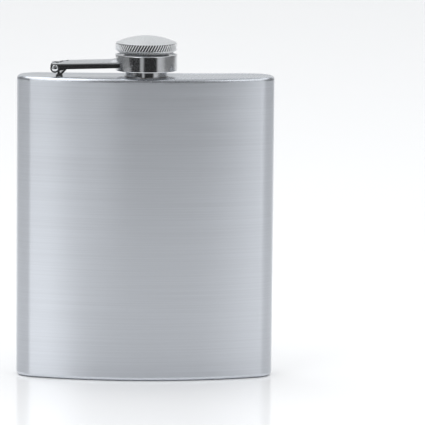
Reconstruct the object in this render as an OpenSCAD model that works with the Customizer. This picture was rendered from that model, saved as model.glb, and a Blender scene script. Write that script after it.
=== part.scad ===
// Stainless steel hip flask with a captive screw cap on a hinged arm.
// Millimetres. +Z is up, the bulging front faces -Y, and the flask stands on z = 0
// with the middle of its outline over the origin.

/* [Body] */
// Width across the rounded ends
body_w = 95; // [84:1:120]
// Depth, from the middle of the front to the ends of the back
body_d = 24; // [23:0.5:32]
// Height of the body, up to its top plate
body_h = 112; // [80:1:150]
// Radius of the rounded ends
end_r = 8.4; // [6:0.1:9.4]
// Hollow in the middle of the back
back_dip = 1; // [0.5:0.1:3]
// Thickness of the steel sheet
wall = 0.5; // [0.4:0.05:0.9]
// Radius of the rounded top and bottom edges
edge_r = 1.5; // [1.1:0.1:2]

/* [Neck] */
// Radius of the pouring mouth
mouth_r = 6.4; // [5:0.1:6.8]
// Wall of the neck tube at the root of its thread
neck_wall = 0.6; // [0.5:0.05:1]
// Height of the neck above the top plate
neck_h = 7.5; // [7:0.1:9]
// Height of the thicker foot of the neck
foot_h = 2.9; // [2:0.1:3]
// How far the neck stands in front of the middle of the top plate
neck_forward = 0.8; // [0:0.1:1]

/* [Thread] */
// Height left round the neck for its thread ridge
ridge_h = 0.4; // [0.3:0.02:0.45]
// Gap between the ridge and the skirt round it
thread_gap = 0.15; // [0.12:0.01:0.25]

/* [Cap] */
// Radius of the knurled head
head_r = 11.3; // [10.5:0.1:13]
// Height of the knurled rim
rim_h = 2.5; // [1.8:0.1:3]
// Height of the dome above the rim
dome_h = 2.6; // [1:0.1:4]
// Height of the bevel under the rim
bevel_h = 1.5; // [1:0.1:2]
// Thickness of the head's shell
head_wall = 0.7; // [0.5:0.05:1]
// Number of knurl teeth
knurl_teeth = 66; // [40:1:80]
// Depth of the knurl
knurl_depth = 0.4; // [0.2:0.05:0.45]
// Lean of the knurl teeth from upright, in degrees
knurl_lean = 30; // [0:1:40]
// Wall of the threaded skirt
skirt_wall = 0.5; // [0.4:0.05:0.8]
// Gasket thickness
gasket_t = 1; // [0.6:0.1:1.2]

/* [Collar] */
// Radius of the collar
collar_r = 11.4; // [11:0.1:13]
// Height of the collar
collar_h = 5.9; // [5.7:0.1:6.6]
// Gap between the collar's lower edge and the top plate
collar_lift = 2.3; // [2:0.1:2.6]
// Thickness of the collar's wall and of its web
collar_wall = 0.6; // [0.5:0.05:0.7]
// Depth of the web below the collar's top edge
web_sink = 0.4; // [0.2:0.05:0.6]
// Width of the slot in the collar's wall
slot_w = 8.2; // [6.5:0.1:8.8]

/* [Arm] */
// Distance from the hinge pin to the middle of the neck
arm_reach = 33.5; // [28:0.5:34]
// Width of the arm
arm_w = 8; // [7:0.1:9]
// Sheet thickness of the arm
arm_t = 0.7; // [0.5:0.05:0.8]
// Height of the arm's side flanges above the line of the hinge pin
flange_h = 1.6; // [1.2:0.1:2]
// How far the flanges reach below the line of the hinge pin
flange_drop = 0.5; // [0:0.1:0.8]
// Rise of the arm's arched top above its flanges
arm_crown = 0.9; // [0.4:0.1:1.2]
// Slope of the closed arm, up towards the collar, in degrees
arm_rise = 1.5; // [0:0.1:2]
// Height of the hinge pin above the top plate
pin_h = 3.2; // [2.8:0.1:3.6]
// Radius of the hinge pin
pin_r = 0.75; // [0.6:0.05:0.9]
// Running clearance, on radius, of the pin in the lug and the skirt in its ring
run_gap = 0.05; // [0.02:0.01:0.1]

/* [Hidden] */
$fn = 128;

// Outline seen from above: four tangent arcs, the two ends on the line y = 0
end_x = body_w / 2 - end_r;
front_reach = body_d - end_r;
front_r = (pow(front_reach, 2) - pow(end_r, 2) + pow(end_x, 2)) / (2 * (front_reach - end_r));
front_y = front_r - front_reach;
front_a = asin(end_x / (front_r - end_r));
back_r = (pow(end_x, 2) + pow(back_dip, 2)) / (2 * back_dip) - end_r;
back_y = back_r + end_r - back_dip;
back_a = asin(end_x / (back_r + end_r));
outline_shift = (front_reach - end_r) / 2;
end_steps = 10;
long_steps = 24;
chain_steps = 2 * end_steps + long_steps;
edge_steps = 4;
seam_w = 2;
seam_t = 0.25;

// The neck, hinge and cap share one line along X
mid_depth = body_d - back_dip;
plate_mid_y = (end_r - back_dip - front_reach) / 2 + outline_shift;
neck_y = plate_mid_y - neck_forward;

// Radii of the neck and of the skirt round it
neck_core_r = mouth_r + neck_wall;
neck_ridge_r = neck_core_r + ridge_h;
skirt_in_r = neck_ridge_r + thread_gap;
skirt_out_r = skirt_in_r + skirt_wall;
foot_r = (neck_ridge_r + skirt_out_r) / 2;
flange_r = foot_r + 0.7;
flange_t = 0.8;
weld_leg = 0.35;

// Heights above the top plate
lip_z = foot_h + 0.2;
lip_t = 0.4;
keeper_t = 0.4;
keeper_r = skirt_out_r + 1.5;
lip_r = skirt_out_r + 0.9;
seal_z = neck_h;
disc_z = seal_z + gasket_t;
disc_t = 0.7;
collar_top = collar_lift + collar_h;
web_z = collar_top - web_sink - collar_wall;
web_hole_r = skirt_out_r + 0.3;
head_gap = 0.2;
head_z = collar_top + head_gap;
rim_z = head_z + bevel_h;
dome_z = rim_z + rim_h;
crown_z = dome_z + dome_h;
bevel_r = head_r - 2.5;
knurl_cover = 0.15;
dome_r = (pow(head_r - 0.2, 2) + pow(dome_h, 2)) / (2 * dome_h);

// Hinge and arm
ear_r = 1.7;
ear_reach = 3.2;
notch_r = 2.15;
lug_w = arm_w - 2 * arm_t - 1;
lug_eye_r = 1.55;
pin_head_r = 1.2;
pin_head_t = 0.5;
arm_end = arm_reach - collar_r + 2;
crown_r = (pow(arm_w / 2, 2) + pow(arm_crown, 2)) / (2 * arm_crown);
arm_top = flange_h + arm_crown;
tongue_w = 6;
tongue_x = arm_reach - collar_r - 1.6;
tongue_z = pin_h + arm_top * cos(arm_rise) + tongue_x * sin(arm_rise) - arm_t;
hook_t = 0.6;
slot_h = web_z - tongue_z - 0.15;
slot_reach = collar_r - sqrt(pow(collar_r - collar_wall, 2) - pow(slot_w / 2, 2)) + 0.4;

steel = [0.72, 0.74, 0.77];
polished = [0.6, 0.6, 0.63];
satin = [0.8, 0.81, 0.82];
weld_grey = [0.45, 0.45, 0.47];
seal_white = [0.92, 0.92, 0.9];

// ---- Helpers ----

// Moves its children to the middle of the neck, at the top plate's surface
module on_neck() {
    translate([0, neck_y, body_h]) children();
}

// Moves its children to the middle of the hinge pin, with X along the closed arm
module on_hinge(slope = 0) {
    translate([-arm_reach, neck_y, body_h + pin_h]) rotate([0, -slope, 0]) children();
}

// Lays a profile of (X, Z) points across the arm, width wide and centred on it
module across(width) {
    translate([0, width / 2, 0]) rotate([90, 0, 0]) linear_extrude(width) children();
}

// Points on an arc, without its last one
function arc_points(centre, r, from, to, steps) = [
    for (i = [0:steps - 1])
        let (a = from + (to - from) * i / steps) centre + r * [cos(a), sin(a)]
];

// The outline from its left tip to its right tip, by way of the front or of the back.
// Every inset keeps the same centres and the same number of points
function front_chain(inset) = concat(
    arc_points([-end_x, 0], end_r - inset, 180, 270 - front_a, end_steps),
    arc_points([0, front_y], front_r - inset, -90 - front_a, -90 + front_a, long_steps),
    arc_points([end_x, 0], end_r - inset, -90 + front_a, 0, end_steps),
    [[end_x + end_r - inset, 0]]
);
function back_chain(inset) = concat(
    arc_points([-end_x, 0], end_r - inset, 180, 90 - back_a, end_steps),
    arc_points([0, back_y], back_r + inset, -90 - back_a, -90 + back_a, long_steps),
    arc_points([end_x, 0], end_r - inset, 90 + back_a, 0, end_steps),
    [[end_x + end_r - inset, 0]]
);
function outline(inset) = let (back = back_chain(inset)) [
    for (p = concat(front_chain(inset), [for (i = [chain_steps - 1:-1:1]) back[i]]))
        p + [0, outline_shift]
];

// A formed plate that opens upwards: flat, with a quarter-round edge turned up to the wall
module formed_plate() {
    count = 2 * chain_steps;
    rings = concat(
        [for (i = [0:edge_steps]) let (a = 90 * i / edge_steps)
            [edge_r * (1 - cos(a)), edge_r * (1 - sin(a))]],
        [for (i = [edge_steps:-1:0]) let (a = 90 * i / edge_steps, r = edge_r - wall)
            [edge_r - r * cos(a), edge_r - r * sin(a)]]
    );
    last = len(rings) - 1;
    points = [for (ring = rings, p = outline(ring[0])) [p[0], p[1], ring[1]]];
    walls = [
        for (k = [0:last], i = [0:count - 1])
            let (a = k * count, b = (k + 1) % (last + 1) * count, j = (i + 1) % count)
            if (k != edge_steps) each [[a + i, b + j, b + i], [a + i, a + j, b + j]]
    ];
    polyhedron(points, concat(walls, flat_faces(edge_steps * count, false),
                              flat_faces((edge_steps + 1) * count, true)), convexity = 4);
}

// Triangles across one ring of a plate, between the front and the back of its outline
function flat_faces(first, up) = [
    for (i = [0:chain_steps - 1])
        let (front = first + i, back = first + (2 * chain_steps - i) % (2 * chain_steps),
             next_back = first + 2 * chain_steps - i - 1)
        for (t = [if (i > 0) [front, back, next_back],
                  if (i < chain_steps - 1) [front, next_back, front + 1]])
            up ? t : [t[2], t[1], t[0]]
];

// ---- Body ----

module body_wrap() {
    color(steel) translate([0, 0, edge_r]) linear_extrude(body_h - 2 * edge_r) difference() {
        polygon(outline(0));
        polygon(outline(wall));
    }
}

// Weld bead inside the wrap, up the middle of the back
module side_seam() {
    color(weld_grey) translate([-seam_w / 2, plate_mid_y + mid_depth / 2 - wall - seam_t, edge_r])
        cube([seam_w, seam_t, body_h - 2 * edge_r]);
}

module top_plate() {
    color(steel) difference() {
        translate([0, 0, body_h]) mirror([0, 0, 1]) formed_plate();
        on_neck() cylinder(h = 4, r = foot_r, center = true);
    }
}

module base_plate() {
    color(steel) formed_plate();
}

module neck() {
    color(polished) on_neck() difference() {
        union() {
            cylinder(h = neck_h, r = neck_core_r);
            translate([0, 0, -wall]) cylinder(h = foot_h + wall, r = foot_r);
            translate([0, 0, -wall - flange_t]) cylinder(h = flange_t, r = flange_r);
        }
        translate([0, 0, -wall - flange_t - 1]) cylinder(h = neck_h + 4, r = mouth_r);
    }
}

module neck_weld() {
    color(weld_grey) on_neck() rotate_extrude()
        polygon([[foot_r, 0], [foot_r + weld_leg, 0], [foot_r, weld_leg]]);
}

// ---- Hinge and arm ----

// Standing lug: an eye for the pin, and a sprung leg that steadies the arm
module hinge_lug() {
    color(polished) on_hinge() difference() {
        across(lug_w) {
            circle(lug_eye_r);
            polygon([[0.6, -pin_h], [2.6, -pin_h], [2.6, -2.6], [4.2, -0.4], [3.6, 0.1],
                     [2.1, -1.9], [1.5, -1.7], [1.3, -0.6], [-1.2, -0.9], [0.6, -2.6]]);
        }
        rotate([90, 0, 0]) cylinder(h = lug_w + 2, r = pin_r + run_gap, center = true);
    }
}

module lug_weld() {
    color(weld_grey) on_hinge() across(lug_w) {
        polygon([[0.6, -pin_h], [0.6, -pin_h + weld_leg], [0.6 - weld_leg, -pin_h]]);
        polygon([[2.6, -pin_h], [2.6, -pin_h + weld_leg], [2.6 + weld_leg, -pin_h]]);
    }
}

module hinge_pin() {
    color(polished) on_hinge() rotate([90, 0, 0]) {
        cylinder(h = arm_w, r = pin_r, center = true);
        for (side = [0, 1]) mirror([0, 0, side]) translate([0, 0, arm_w / 2])
            rotate_extrude() intersection() {
                translate([0, pin_head_t - 2 * pin_head_r]) circle(2 * pin_head_r);
                square([pin_head_r, pin_head_t]);
            }
    }
}

// Cross-section of the arm, an arched channel that is open below
module arm_section(inset) {
    intersection() {
        translate([inset - arm_w / 2, -1]) square([arm_w - 2 * inset, 10]);
        translate([0, arm_top - crown_r]) circle(crown_r - inset);
    }
}

module captive_arm() {
    color(polished) difference() {
        union() {
            on_hinge(arm_rise) difference() {
                union() {
                    translate([ear_reach, 0, 0]) rotate([90, 0, 90])
                        linear_extrude(arm_end - ear_reach) difference() {
                            arm_section(0);
                            arm_section(arm_t);
                            translate([-arm_w, -flange_drop - 2]) square([2 * arm_w, 2]);
                        }
                    for (side = [-1, 1]) translate([0, side * (arm_w - arm_t) / 2, 0])
                        across(arm_t) {
                            circle(ear_r);
                            polygon([[0, -flange_drop], [ear_reach + 1, -flange_drop],
                                     [ear_reach + 1, flange_h - 0.2], [0.2, ear_r]]);
                        }
                }
                translate([ear_reach, 0, flange_h]) cylinder(h = 3, r = notch_r);
                rotate([90, 0, 0]) cylinder(h = arm_w + 2, r = pin_r, center = true);
            }
        }
        on_neck() cylinder(h = 2 * collar_top, r = collar_r);
    }
    color(polished) arm_tongue();
}

// The end of the arm's top, through the collar's slot and turned up behind its wall
module arm_tongue() {
    inner_r = collar_r - collar_wall;
    on_neck() {
        translate([0, 0, tongue_z]) intersection() {
            translate([-arm_reach + tongue_x, -tongue_w / 2, 0])
                cube([arm_reach - tongue_x - inner_r + hook_t + 1, tongue_w, arm_t]);
            difference() {
                cylinder(h = arm_t, r = arm_reach);
                cylinder(h = 3 * arm_t, r = inner_r - hook_t, center = true);
            }
        }
        translate([0, 0, tongue_z]) intersection() {
            translate([-collar_r, -tongue_w / 2, 0]) cube([collar_r, tongue_w, slot_h]);
            difference() {
                cylinder(h = slot_h, r = inner_r);
                cylinder(h = 3 * slot_h, r = inner_r - hook_t, center = true);
            }
        }
    }
}

// Inverted cup: the wall, a sunk web with the skirt's hole, and a slot for the tongue
module collar() {
    round_r = collar_wall / 2;
    color(polished) on_neck() difference() {
        union() {
            rotate_extrude() {
                translate([collar_r - collar_wall, collar_lift + round_r])
                    square([collar_wall, collar_h - collar_wall]);
                for (z = [collar_lift + round_r, collar_top - round_r])
                    translate([collar_r - round_r, z]) circle(round_r);
            }
            translate([0, 0, web_z]) cylinder(h = collar_wall, r = collar_r - collar_wall / 2);
        }
        translate([0, 0, web_z - 1]) cylinder(h = 3, r = web_hole_r);
        translate([-collar_r - 1, -slot_w / 2, tongue_z])
            cube([slot_reach + 1, slot_w, slot_h]);
    }
}

// ---- Cap ----

// Slip ring on the skirt's lip, which keeps the cap in the collar
module keeper_ring() {
    color(polished) on_neck() translate([0, 0, lip_z + lip_t]) difference() {
        cylinder(h = keeper_t, r = keeper_r);
        translate([0, 0, -1]) cylinder(h = 3, r = skirt_out_r + run_gap);
    }
}

// The skirt's tube: a lip at its foot, a sealing disc inside, a flange inside the head
module cap_skirt() {
    top_z = max(head_z + 2 * head_wall, disc_z + disc_t);
    color(polished) on_neck() difference() {
        union() {
            translate([0, 0, lip_z]) cylinder(h = lip_t, r = lip_r);
            translate([0, 0, lip_z]) cylinder(h = top_z - lip_z, r = skirt_out_r);
            translate([0, 0, head_z + head_wall])
                cylinder(h = head_wall, r = bevel_r - head_wall / 2);
        }
        translate([0, 0, lip_z - 1]) cylinder(h = disc_z - lip_z + 1, r = skirt_in_r);
        translate([0, 0, disc_z + disc_t]) cylinder(h = top_z, r = skirt_in_r);
    }
}

module cap_gasket() {
    color(seal_white) on_neck() translate([0, 0, seal_z])
        cylinder(h = gasket_t, r = skirt_in_r - 0.1);
}

// Twisted star that stands for the slanting teeth
module knurl_band() {
    root_r = head_r - knurl_depth;
    lean_a = atan(rim_h * tan(knurl_lean) / head_r);
    pitch_a = 360 / knurl_teeth;
    linear_extrude(rim_h, twist = -lean_a, slices = 3) difference() {
        polygon([
            for (i = [0:knurl_teeth - 1], p = [[0, root_r], [0.3, head_r], [0.7, head_r]])
                let (a = (i + p[0]) * pitch_a) [p[1] * cos(a), p[1] * sin(a)]
        ]);
        circle(root_r - knurl_cover - head_wall / 2);
    }
}

// Cross-section of the head, as far as a wall's thickness inside its surface
module head_section(inset) {
    body_r = head_r - knurl_depth - knurl_cover - inset;
    intersection() {
        polygon([[0, head_z + inset], [bevel_r - inset / 2, head_z + inset],
                 [body_r, rim_z + inset / 2], [body_r, crown_z + 1], [0, crown_z + 1]]);
        translate([0, crown_z - dome_r]) circle(dome_r - inset);
    }
}

module cap_head() {
    color(satin) on_neck() {
        rotate_extrude() difference() {
            head_section(0);
            head_section(head_wall);
            translate([-1, head_z - 1]) square([skirt_out_r + 1, 1 + 1.5 * head_wall]);
        }
        translate([0, 0, rim_z]) knurl_band();
    }
}

body_wrap();
side_seam();
top_plate();
base_plate();
neck();
neck_weld();
hinge_lug();
lug_weld();
hinge_pin();
captive_arm();
collar();
keeper_ring();
cap_skirt();
cap_gasket();
cap_head();
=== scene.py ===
"""Steel hip flask with a captive screw cap on a hinged arm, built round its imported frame."""

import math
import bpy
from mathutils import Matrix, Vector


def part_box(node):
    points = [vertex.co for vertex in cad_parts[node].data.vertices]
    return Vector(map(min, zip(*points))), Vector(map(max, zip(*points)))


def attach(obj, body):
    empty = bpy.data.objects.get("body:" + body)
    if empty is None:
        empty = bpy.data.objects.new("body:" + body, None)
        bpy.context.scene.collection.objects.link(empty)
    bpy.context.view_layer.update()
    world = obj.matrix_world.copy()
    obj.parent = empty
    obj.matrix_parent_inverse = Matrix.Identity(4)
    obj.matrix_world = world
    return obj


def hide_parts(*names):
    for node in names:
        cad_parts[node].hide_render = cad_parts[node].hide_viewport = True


bl_info = {
    "name": "Hip Flask",
    "version": (1, 0, 0),
    "blender": (4, 5, 0),
    "location": "3D View > Sidebar > Flask",
    "description": "Builds a brushed steel hip flask with a captive screw cap on a hinged arm",
    "category": "Object",
}

import bmesh
import bpy
from bpy.props import FloatProperty, FloatVectorProperty, IntProperty, PointerProperty
from mathutils import Euler, Matrix, Vector

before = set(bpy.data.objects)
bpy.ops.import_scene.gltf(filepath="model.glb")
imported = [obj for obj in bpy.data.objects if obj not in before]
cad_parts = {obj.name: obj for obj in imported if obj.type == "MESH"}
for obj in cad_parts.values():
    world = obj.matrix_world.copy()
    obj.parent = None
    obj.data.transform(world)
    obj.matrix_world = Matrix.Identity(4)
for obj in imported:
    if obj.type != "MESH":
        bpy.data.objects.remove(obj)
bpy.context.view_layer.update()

# Everything is in metres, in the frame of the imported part. MM turns a small size written in millimetres
# into metres. Two sizes that differ by less than NEAR are the same but for rounding.
MM = 0.001
NEAR = 1e-4 * MM
WRAP_LOW, WRAP_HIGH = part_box("body_wrap")
PLATE_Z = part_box("top_plate")[1].z
NECK_LOW, NECK_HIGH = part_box("neck")
COLLAR_LOW, COLLAR_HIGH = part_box("collar")
HEAD_LOW, HEAD_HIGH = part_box("cap_head")
SKIRT_LOW, SKIRT_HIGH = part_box("cap_skirt")
KEEPER_LOW, KEEPER_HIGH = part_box("keeper_ring")
GASKET_LOW, GASKET_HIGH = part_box("cap_gasket")
LUG_LOW, LUG_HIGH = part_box("hinge_lug")
PIN_LOW, PIN_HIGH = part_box("hinge_pin")
ARM_LOW, ARM_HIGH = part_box("captive_arm")
SEAM_LOW, SEAM_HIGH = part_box("side_seam")
NECK_AXIS = Vector((0, (NECK_LOW.y + NECK_HIGH.y) / 2, PLATE_Z))
HINGE = (PIN_LOW + PIN_HIGH) / 2

# Sizes that two neighbouring pieces share
FOOT_RADIUS = 7.725 * MM
BORE_RADIUS = 6.4 * MM
SKIRT_RADIUS = 8.05 * MM
COLLAR_WALL = 0.6 * MM


# ---- Sizes and colours that a user would change ----


class FlaskBodySizes(bpy.types.PropertyGroup):
    """Shape of the curved body"""

    end_radius: FloatProperty(
        name="End radius", description="Radius of the rounded ends, seen from above",
        default=8.4 * MM, subtype="DISTANCE")
    back_hollow: FloatProperty(
        name="Back hollow", description="Depth of the hollow in the middle of the back",
        default=1.0 * MM, subtype="DISTANCE")
    sheet: FloatProperty(
        name="Sheet", description="Thickness of the steel sheet",
        default=0.5 * MM, subtype="DISTANCE")
    edge_radius: FloatProperty(
        name="Edge radius", description="Radius of the rounded edges of the top and base plates",
        default=WRAP_LOW.z, subtype="DISTANCE")


class FlaskThreadSizes(bpy.types.PropertyGroup):
    """The screw thread that the neck and the skirt share"""

    lead: FloatProperty(
        name="Lead", description="Rise of the cap in one turn", default=1.6 * MM, subtype="DISTANCE")
    ridge: FloatProperty(
        name="Ridge", description="Height of the thread ridge", default=0.38 * MM, subtype="DISTANCE")
    core_radius: FloatProperty(
        name="Core radius", description="Radius of the neck between the ridges",
        default=7.0 * MM, subtype="DISTANCE")
    skirt_radius: FloatProperty(
        name="Skirt radius", description="Inner radius of the skirt between its ridges",
        default=7.55 * MM, subtype="DISTANCE")


class FlaskArmSizes(bpy.types.PropertyGroup):
    """The sheet-metal arm between the hinge and the collar"""

    sheet: FloatProperty(
        name="Sheet", description="Thickness of the arm's sheet", default=0.7 * MM, subtype="DISTANCE")
    flange: FloatProperty(
        name="Flange", description="Height of the side flanges above the line of the pin",
        default=1.6 * MM, subtype="DISTANCE")
    drop: FloatProperty(
        name="Drop", description="How far the flanges reach below the line of the pin",
        default=0.5 * MM, subtype="DISTANCE")
    crown: FloatProperty(
        name="Crown", description="Rise of the arched top", default=0.9 * MM, subtype="DISTANCE")
    slope: FloatProperty(
        name="Slope", description="Slope of the closed arm, up towards the collar",
        default=math.radians(1.5), subtype="ANGLE")
    notch: FloatProperty(
        name="Notch", description="Radius of the notch at the hinge end", default=2.15 * MM,
        subtype="DISTANCE")
    tongue: FloatProperty(
        name="Tongue", description="Width of the tongue in the collar's slot", default=6.0 * MM,
        subtype="DISTANCE")
    slot: FloatProperty(
        name="Slot", description="Width of the slot in the collar", default=8.2 * MM, subtype="DISTANCE")


class FlaskKnurlSizes(bpy.types.PropertyGroup):
    """The slanting teeth round the cap"""

    teeth: IntProperty(name="Teeth", description="Number of teeth", default=66, min=12, max=120)
    depth: FloatProperty(
        name="Depth", description="Height of a tooth above the band between the teeth",
        default=0.4 * MM, subtype="DISTANCE")
    lean: FloatProperty(
        name="Lean", description="Lean of the teeth from upright", default=math.radians(30),
        subtype="ANGLE")
    rim: FloatProperty(
        name="Rim", description="Height of the band of teeth", default=2.5 * MM, subtype="DISTANCE")
    bevel: FloatProperty(
        name="Bevel", description="Height of the bevel under the teeth", default=1.5 * MM,
        subtype="DISTANCE")


class FlaskColours(bpy.types.PropertyGroup):
    """Colours of the steels and of the seal"""

    body: FloatVectorProperty(
        name="Body", description="Brushed steel of the body", subtype="COLOR", size=3,
        default=(0.66, 0.685, 0.725), min=0, max=1)
    polished: FloatVectorProperty(
        name="Polished", description="Polished steel of the collar, neck and hinge", subtype="COLOR",
        size=3, default=(0.64, 0.65, 0.665), min=0, max=1)
    satin: FloatVectorProperty(
        name="Satin", description="Blasted steel of the cap's head", subtype="COLOR", size=3,
        default=(0.84, 0.85, 0.86), min=0, max=1)
    weld: FloatVectorProperty(
        name="Weld", description="Ground weld beads", subtype="COLOR", size=3,
        default=(0.42, 0.41, 0.40), min=0, max=1)
    seal: FloatVectorProperty(
        name="Seal", description="Silicone gasket", subtype="COLOR", size=3,
        default=(0.86, 0.86, 0.83), min=0, max=1)


class FlaskStudio(bpy.types.PropertyGroup):
    """Camera and floor"""

    distance: FloatProperty(
        name="Distance", description="From the camera to what it looks at", default=1.5,
        subtype="DISTANCE")
    pitch: FloatProperty(
        name="Pitch", description="How far the camera looks down", default=math.radians(8.1),
        subtype="ANGLE")
    turn: FloatProperty(
        name="Turn", description="How far the camera stands to the left of straight ahead",
        default=math.radians(2.0), subtype="ANGLE")
    roll: FloatProperty(
        name="Roll", description="Turn of the camera about its view", default=math.radians(0.53),
        subtype="ANGLE")
    view_width: FloatProperty(
        name="View width", description="Width of the view at the object", default=157.1 * MM,
        subtype="DISTANCE")
    aim_side: FloatProperty(
        name="Aim to the side", description="How far right of the flask's middle the camera aims",
        default=24.9 * MM, subtype="DISTANCE")
    aim_height: FloatProperty(
        name="Aim height", description="Height that the camera aims at", default=61.45 * MM,
        subtype="DISTANCE")


# ---- Mesh helpers ----


def rounded(corners, steps=5):
    """The closed outline through corners (u, v, radius), with each corner turned into an arc."""
    points = []
    for i, (u, v, radius) in enumerate(corners):
        here = Vector((u, v))
        if radius <= 0:
            points.append(here)
            continue
        back = (Vector(corners[i - 1][:2]) - here).normalized()
        ahead = (Vector(corners[(i + 1) % len(corners)][:2]) - here).normalized()
        half = back.angle(ahead) / 2
        middle = here + (back + ahead).normalized() * radius / math.sin(half)
        first = here + back * radius / math.tan(half) - middle
        turn = first.angle_signed(here + ahead * radius / math.tan(half) - middle)
        for k in range(steps + 1):
            swing = Matrix.Rotation(-turn * k / steps, 2)
            points.append(middle + swing @ first)
    return points


def piece_from(name, mesh, materials):
    """An object at the origin with these materials."""
    for material in materials:
        mesh.materials.append(material)
    piece = bpy.data.objects.new(name, mesh)
    bpy.context.scene.collection.objects.link(piece)
    return piece


def mesh_of(name, bm):
    """The plain mesh of a bmesh, merged, with its faces outward and its hard edges marked."""
    bmesh.ops.remove_doubles(bm, verts=bm.verts, dist=0.0005 * MM)
    bmesh.ops.recalc_face_normals(bm, faces=bm.faces)
    for face in bm.faces:
        face.smooth = True
    mesh = bpy.data.meshes.new(name)
    bm.to_mesh(mesh)
    bm.free()
    mesh.set_sharp_from_angle(angle=math.radians(40))
    return mesh


def skin(bm, rows):
    """Joins rows of vertices into a tube, and closes both of its ends."""
    for low, high in zip(rows, rows[1:]):
        for k in range(len(low)):
            j = (k + 1) % len(low)
            bm.faces.new([low[k], low[j], high[j], high[k]])
    bm.faces.new(rows[0])
    bm.faces.new(rows[-1])


def settle(piece):
    """Applies a piece's modifiers, so that only a plain mesh is left."""
    bpy.context.view_layer.update()
    depsgraph = bpy.context.evaluated_depsgraph_get()
    plain = bpy.data.meshes.new_from_object(piece.evaluated_get(depsgraph), depsgraph=depsgraph)
    piece.modifiers.clear()
    piece.data = plain
    return piece


def shade_smooth(piece, sharp_degrees):
    """Shades a piece smooth, except over edges that are sharper than an angle."""
    for polygon in piece.data.polygons:
        polygon.use_smooth = True
    piece.data.set_sharp_from_angle(angle=math.radians(sharp_degrees))


def keep_flats_flat(piece):
    """Weights the normals by face area, so that flats look flat next to small rounded edges."""
    weighted = piece.modifiers.new("Weighted", "WEIGHTED_NORMAL")
    weighted.keep_sharp = True
    weighted.weight = 100
    return settle(piece)


def hand_over(piece, body, slot_name, *nodes):
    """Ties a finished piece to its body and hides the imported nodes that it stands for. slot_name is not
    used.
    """
    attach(piece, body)
    if nodes:
        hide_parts(*nodes)


def turned(name, outline, materials, steps=128, place=None, shift=None, zones=None):
    """A solid of revolution. outline is a closed list of (radius, height); a point at radius 0 is one
    vertex. place maps a point of it into the frame, shift moves a radius at (angle, height, index), and
    zones gives the material index of each edge of the outline."""
    place = place or (lambda p: NECK_AXIS + p)
    bm = bmesh.new()
    rings = []
    for index, (radius, height) in enumerate(outline):
        if radius < 1e-9:
            rings.append([bm.verts.new(place(Vector((0, 0, height))))] * steps)
            continue
        ring = []
        for k in range(steps):
            angle = 2 * math.pi * k / steps
            far = radius + (shift(angle, height, index) if shift else 0)
            ring.append(bm.verts.new(place(Vector((far * math.cos(angle), far * math.sin(angle), height)))))
        rings.append(ring)
    for i, low in enumerate(rings):
        high = rings[(i + 1) % len(rings)]
        if low[0] == low[1] and high[0] == high[1]:
            continue
        for k in range(steps):
            corners = [low[k], low[(k + 1) % steps], high[(k + 1) % steps], high[k]]
            face = bm.faces.new(list(dict.fromkeys(corners)))
            face.material_index = zones[i] if zones else 0
    return piece_from(name, mesh_of(name, bm), materials)


def prism(name, outline, low, high, place, materials):
    """A straight prism of a closed outline, between two heights along place's third axis."""
    bm = bmesh.new()
    skin(bm, [[bm.verts.new(place(Vector((p[0], p[1], h)))) for p in outline] for h in (low, high)])
    return piece_from(name, mesh_of(name, bm), materials)


def soften(piece, width):
    """Rounds a piece's hard edges by a small bevel, and applies it."""
    bevel = piece.modifiers.new("Rounded edges", "BEVEL")
    bevel.width = width
    bevel.segments = 3
    bevel.limit_method = "ANGLE"
    bevel.angle_limit = math.radians(35)
    bevel.harden_normals = False
    shade_smooth(settle(piece), 50)
    return keep_flats_flat(piece)


def combine(piece, other, operation):
    """Cuts another piece out of this one (DIFFERENCE) or joins it on (UNION), and removes the other."""
    boolean = piece.modifiers.new("Combine", "BOOLEAN")
    boolean.object = other
    boolean.operation = operation
    boolean.solver = "EXACT"
    settle(piece)
    bpy.data.objects.remove(other)


# ---- Shader helpers ----


def shader_group(name, inputs, outputs):
    """A new shader node group with float inputs {name: default} and outputs {name: socket type}."""
    group = bpy.data.node_groups.new(name, "ShaderNodeTree")
    for label, value in inputs.items():
        socket = group.interface.new_socket(name=label, in_out="INPUT", socket_type="NodeSocketFloat")
        socket.default_value = value
    for label, kind in outputs.items():
        group.interface.new_socket(name=label, in_out="OUTPUT", socket_type=kind)
    return group, group.nodes.new("NodeGroupInput"), group.nodes.new("NodeGroupOutput")


def feed(tree, socket, value):
    """Gives an input another socket's value, or a number or colour of its own."""
    if isinstance(value, bpy.types.NodeSocket):
        tree.links.new(value, socket)
    else:
        socket.default_value = value


def object_place(tree):
    """Where a point of the surface is, in the piece's own coordinates."""
    return tree.nodes.new("ShaderNodeTexCoord").outputs["Object"]


def math_node(tree, operation, *operands):
    """A Math node. Each operand is a socket or a number."""
    node = tree.nodes.new("ShaderNodeMath")
    node.operation = operation
    for socket, value in zip(node.inputs, operands):
        feed(tree, socket, value)
    return node.outputs[0]


def map_range(tree, value, from_low, from_high, to_low, to_high):
    """A smooth Map Range node. The limits are sockets or numbers."""
    node = tree.nodes.new("ShaderNodeMapRange")
    node.interpolation_type = "SMOOTHSTEP"
    tree.links.new(value, node.inputs["Value"])
    limits = {"From Min": from_low, "From Max": from_high, "To Min": to_low, "To Max": to_high}
    for label, limit in limits.items():
        feed(tree, node.inputs[label], limit)
    return node.outputs["Result"]


def noise(tree, vector, scale, detail, roughness):
    """The factor of a Noise Texture."""
    node = tree.nodes.new("ShaderNodeTexNoise")
    settings = {"Vector": vector, "Scale": scale, "Detail": detail, "Roughness": roughness}
    for label, value in settings.items():
        feed(tree, node.inputs[label], value)
    return node.outputs["Fac"]


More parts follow.
